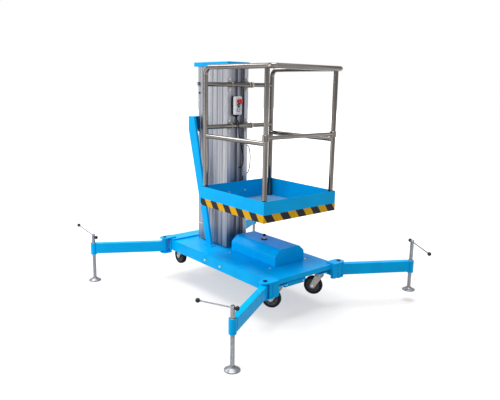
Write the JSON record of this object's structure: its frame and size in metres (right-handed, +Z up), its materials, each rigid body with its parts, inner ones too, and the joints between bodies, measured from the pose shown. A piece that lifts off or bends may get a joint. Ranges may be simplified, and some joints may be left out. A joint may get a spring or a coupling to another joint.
{
  "type": "vertical mast lift",
  "caption": "Single-mast personnel lift: guarded work platform on a telescoping aluminium mast, a wheeled base with castors and swing-out levelling outriggers.",
  "frame": {"origin": "on the ground at the middle of the four outrigger pins, which is also the middle of the footprint", "axes": "+Z up, -Y towards the platform end, +X to the right seen from the platform end"},
  "size_m": [2.0994, 2.4781, 1.92],
  "materials": {
    "blue_paint": "glossy powder coat, hazard tape round the platform tray",
    "mill_aluminium": "extruded, natural anodised",
    "stainless_tube": "polished stainless tube",
    "zinc_plate": "zinc plated",
    "black_rubber": "moulded tyre on a grey hub",
    "black_plastic": "moulded",
    "grey_plastic": "moulded",
    "red_plastic": "moulded mushroom button"
  },
  "bodies": {
    "base": {"deck_plate": "blue_paint", "side_member_left": "blue_paint", "side_member_right": "blue_paint", "front_cross_member": "blue_paint", "under_pan": "blue_paint", "rear_cross_member": "blue_paint", "bracket_front_left": "blue_paint", "pin_front_left": "black_plastic", "bracket_rear_left": "blue_paint", "pin_rear_left": "black_plastic", "bracket_front_right": "blue_paint", "pin_front_right": "black_plastic", "bracket_rear_right": "blue_paint", "pin_rear_right": "black_plastic", "power_unit_cover": "blue_paint", "power_pack": "black_plastic", "lowering_knob": "black_plastic", "mast_section_1": "mill_aluminium", "brace_cross_bar": "blue_paint", "brace_leg_left": "blue_paint", "brace_leg_right": "blue_paint"},
    "arm_front_left": {"arm_front_left": "blue_paint"},
    "jack_front_left": {"jack_front_left": "zinc_plate"},
    "fork_front_left": {"caster_front_left_fork": "zinc_plate"},
    "wheel_front_left": {"caster_front_left_wheel": "black_rubber"},
    "arm_rear_left": {"arm_rear_left": "blue_paint"},
    "jack_rear_left": {"jack_rear_left": "zinc_plate"},
    "fork_rear_left": {"caster_rear_left_fork": "zinc_plate"},
    "wheel_rear_left": {"caster_rear_left_wheel": "black_rubber"},
    "arm_front_right": {"arm_front_right": "blue_paint"},
    "jack_front_right": {"jack_front_right": "zinc_plate"},
    "fork_front_right": {"caster_front_right_fork": "zinc_plate"},
    "wheel_front_right": {"caster_front_right_wheel": "black_rubber"},
    "arm_rear_right": {"arm_rear_right": "blue_paint"},
    "jack_rear_right": {"jack_rear_right": "zinc_plate"},
    "fork_rear_right": {"caster_rear_right_fork": "zinc_plate"},
    "wheel_rear_right": {"caster_rear_right_wheel": "black_rubber"},
    "mast_2": {"mast_section_2": "mill_aluminium"},
    "mast_3": {"mast_section_3": "mill_aluminium"},
    "mast_4": {"mast_section_4": "mill_aluminium"},
    "mast_5": {"mast_section_5": "mill_aluminium"},
    "platform": {"mast_section_6": "mill_aluminium", "mast_cap": "blue_paint", "platform_tray": "blue_paint", "platform_floor": "blue_paint", "guard_rail": "stainless_tube", "post_front_left": "stainless_tube", "post_front_right": "stainless_tube", "mid_rail_left": "stainless_tube", "mid_rail_right": "stainless_tube", "rear_rail_upper": "stainless_tube", "rear_rail_lower": "stainless_tube", "control_box": "grey_plastic", "stop_button": "red_plastic", "control_cable": "black_plastic", "side_cable": "black_plastic"},
    "gate": {"gate_bar": "stainless_tube"}
  },
  "joints": [
    {"name": "swing_front_left", "type": "hinge", "parent": "base", "child": "arm_front_left", "pos_m": [-0.393, -0.688, 0.3], "axis": [0, 0, 1], "range_deg": [-112, 0]},
    {"name": "level_front_left", "type": "slide", "parent": "arm_front_left", "child": "jack_front_left", "axis": [0, 0, 1], "range_m": [-0.03, 0.2]},
    {"name": "swivel_front_left", "type": "hinge", "parent": "base", "child": "fork_front_left", "pos_m": [-0.225, -0.639, 0.26], "axis": [0, 0, 1], "continuous": true},
    {"name": "roll_front_left", "type": "hinge", "parent": "fork_front_left", "child": "wheel_front_left", "pos_m": [-0.2475, -0.60003, 0.18], "axis": [0.866, 0.5, 0], "continuous": true},
    {"name": "swing_rear_left", "type": "hinge", "parent": "base", "child": "arm_rear_left", "pos_m": [-0.393, 0.688, 0.3], "axis": [0, 0, 1], "range_deg": [0, 112]},
    {"name": "level_rear_left", "type": "slide", "parent": "arm_rear_left", "child": "jack_rear_left", "axis": [0, 0, 1], "range_m": [-0.03, 0.2]},
    {"name": "swivel_rear_left", "type": "hinge", "parent": "base", "child": "fork_rear_left", "pos_m": [-0.225, 0.64, 0.26], "axis": [0, 0, 1], "continuous": true},
    {"name": "roll_rear_left", "type": "hinge", "parent": "fork_rear_left", "child": "wheel_rear_left", "pos_m": [-0.225, 0.685, 0.18], "axis": [1, 0, 0], "continuous": true},
    {"name": "swing_front_right", "type": "hinge", "parent": "base", "child": "arm_front_right", "pos_m": [0.393, -0.688, 0.3], "axis": [0, 0, 1], "range_deg": [0, 112]},
    {"name": "level_front_right", "type": "slide", "parent": "arm_front_right", "child": "jack_front_right", "axis": [0, 0, 1], "range_m": [-0.12, 0.11]},
    {"name": "swivel_front_right", "type": "hinge", "parent": "base", "child": "fork_front_right", "pos_m": [0.225, -0.639, 0.26], "axis": [0, 0, 1], "continuous": true},
    {"name": "roll_front_right", "type": "hinge", "parent": "fork_front_right", "child": "wheel_front_right", "pos_m": [0.2025, -0.60003, 0.18], "axis": [0.866, 0.5, 0], "continuous": true},
    {"name": "swing_rear_right", "type": "hinge", "parent": "base", "child": "arm_rear_right", "pos_m": [0.393, 0.688, 0.3], "axis": [0, 0, 1], "range_deg": [-112, 0]},
    {"name": "level_rear_right", "type": "slide", "parent": "arm_rear_right", "child": "jack_rear_right", "axis": [0, 0, 1], "range_m": [-0.03, 0.2]},
    {"name": "swivel_rear_right", "type": "hinge", "parent": "base", "child": "fork_rear_right", "pos_m": [0.225, 0.64, 0.26], "axis": [0, 0, 1], "continuous": true},
    {"name": "roll_rear_right", "type": "hinge", "parent": "fork_rear_right", "child": "wheel_rear_right", "pos_m": [0.225, 0.685, 0.18], "axis": [1, 0, 0], "continuous": true},
    {"name": "lift_2", "type": "slide", "parent": "base", "child": "mast_2", "axis": [0, 0, 1], "range_m": [0, 1.1]},
    {"name": "lift_3", "type": "slide", "parent": "mast_2", "child": "mast_3", "axis": [0, 0, 1], "range_m": [0, 1.1]},
    {"name": "lift_4", "type": "slide", "parent": "mast_3", "child": "mast_4", "axis": [0, 0, 1], "range_m": [0, 1.1]},
    {"name": "lift_5", "type": "slide", "parent": "mast_4", "child": "mast_5", "axis": [0, 0, 1], "range_m": [0, 1.1]},
    {"name": "lift_6", "type": "slide", "parent": "mast_5", "child": "platform", "axis": [0, 0, 1], "range_m": [0, 1.1]},
    {"name": "gate_slide", "type": "slide", "parent": "platform", "child": "gate", "axis": [0, 0, 1], "range_m": [0, 0.42]}
  ],
  "couplings": [
    {"joint": "lift_3", "follows": "lift_2", "ratio": 1},
    {"joint": "lift_4", "follows": "lift_2", "ratio": 1},
    {"joint": "lift_5", "follows": "lift_2", "ratio": 1},
    {"joint": "lift_6", "follows": "lift_2", "ratio": 1}
  ]
}
